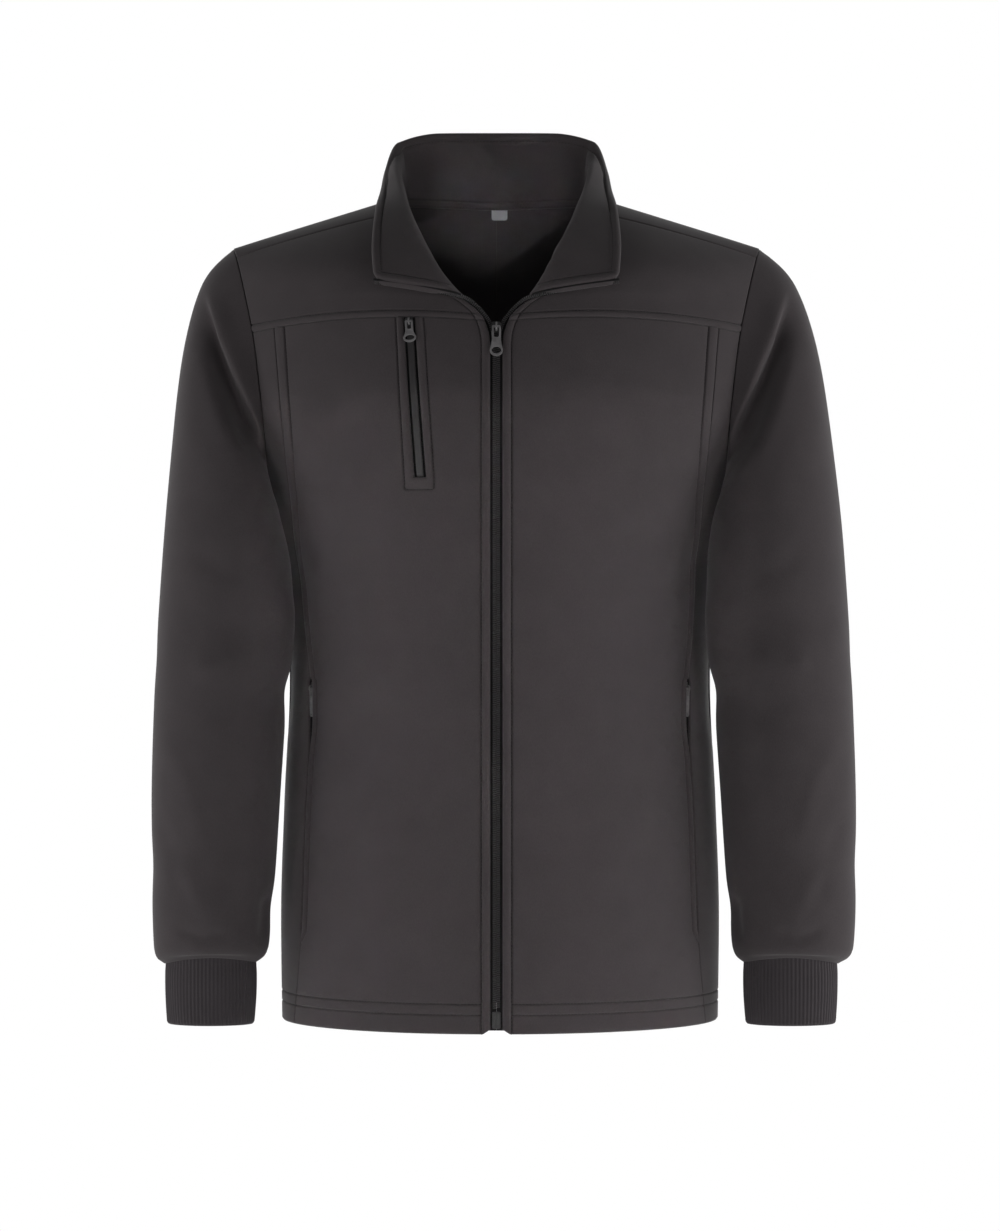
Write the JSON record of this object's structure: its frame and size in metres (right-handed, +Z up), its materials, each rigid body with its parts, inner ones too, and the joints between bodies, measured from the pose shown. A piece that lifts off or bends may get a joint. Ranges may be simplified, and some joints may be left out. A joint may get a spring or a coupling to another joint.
{
  "type": "fleece jacket",
  "caption": "Long-sleeved fleece jacket with front zip, open rolled collar, yokes, zipped chest and hand pockets and ribbed cuffs, filled out as worn and hollow inside.",
  "frame": {"origin": "middle of the neck at the height of the shoulder seams, where the wearer's shoulders hold it", "axes": "+Z up along the centre line, -Y out of the front, +X towards the wearer's left"},
  "size_m": [0.6015, 0.2565, 0.775],
  "materials": {
    "fleece": "matte brushed fleece",
    "rib": "rib knit",
    "tape": "woven zip tape",
    "coil": "nylon coil",
    "metal": "gunmetal plating",
    "label": "bare woven label"
  },
  "bodies": {
    "jacket": {"back": "fleece", "collar": "fleece", "front_left": "fleece", "front_right": "fleece", "side_left": "fleece", "side_right": "fleece", "yoke_left": "fleece", "yoke_right": "fleece", "sleeve_upper_left": "fleece", "sleeve_upper_right": "fleece", "sleeve_lower_left": "fleece", "sleeve_lower_right": "fleece", "cuff_left": "rib", "cuff_right": "rib", "zip_tape_left": "tape", "zip_tape_right": "tape", "collar_tape_left": "tape", "collar_tape_right": "tape", "chest_tape": "tape", "pocket_zip_left": "tape", "pocket_zip_right": "tape", "zip_chain_left": "coil", "zip_chain_right": "coil", "chest_chain": "coil", "zip_box": "metal", "front_slider": "metal", "chest_slider": "metal", "pocket_slider_left": "metal", "pocket_slider_right": "metal", "label": "label"},
    "front_pull_tab": {"front_pull": "metal"},
    "chest_pull_tab": {"chest_pull": "metal"},
    "pocket_pull_tab_left": {"pocket_pull_left": "metal"},
    "pocket_pull_tab_right": {"pocket_pull_right": "metal"}
  },
  "joints": [
    {"name": "front_pull_swing", "type": "hinge", "parent": "jacket", "child": "front_pull_tab", "pos_m": [0, -0.11916, -0.1187], "axis": [-1, 0, 0], "range_deg": [0, 150]},
    {"name": "chest_pull_swing", "type": "hinge", "parent": "jacket", "child": "chest_pull_tab", "pos_m": [-0.07322, -0.11352, -0.11384], "axis": [-0.9878, 0.1212, -0.0975], "range_deg": [0, 150]},
    {"name": "pocket_pull_swing_left", "type": "hinge", "parent": "jacket", "child": "pocket_pull_tab_left", "pos_m": [0.16258, -0.06104, -0.42201], "axis": [-0.591, -0.805, 0.051], "range_deg": [0, 150]},
    {"name": "pocket_pull_swing_right", "type": "hinge", "parent": "jacket", "child": "pocket_pull_tab_right", "pos_m": [-0.15743, -0.06104, -0.42201], "axis": [-0.591, 0.805, -0.051], "range_deg": [0, 150]}
  ]
}
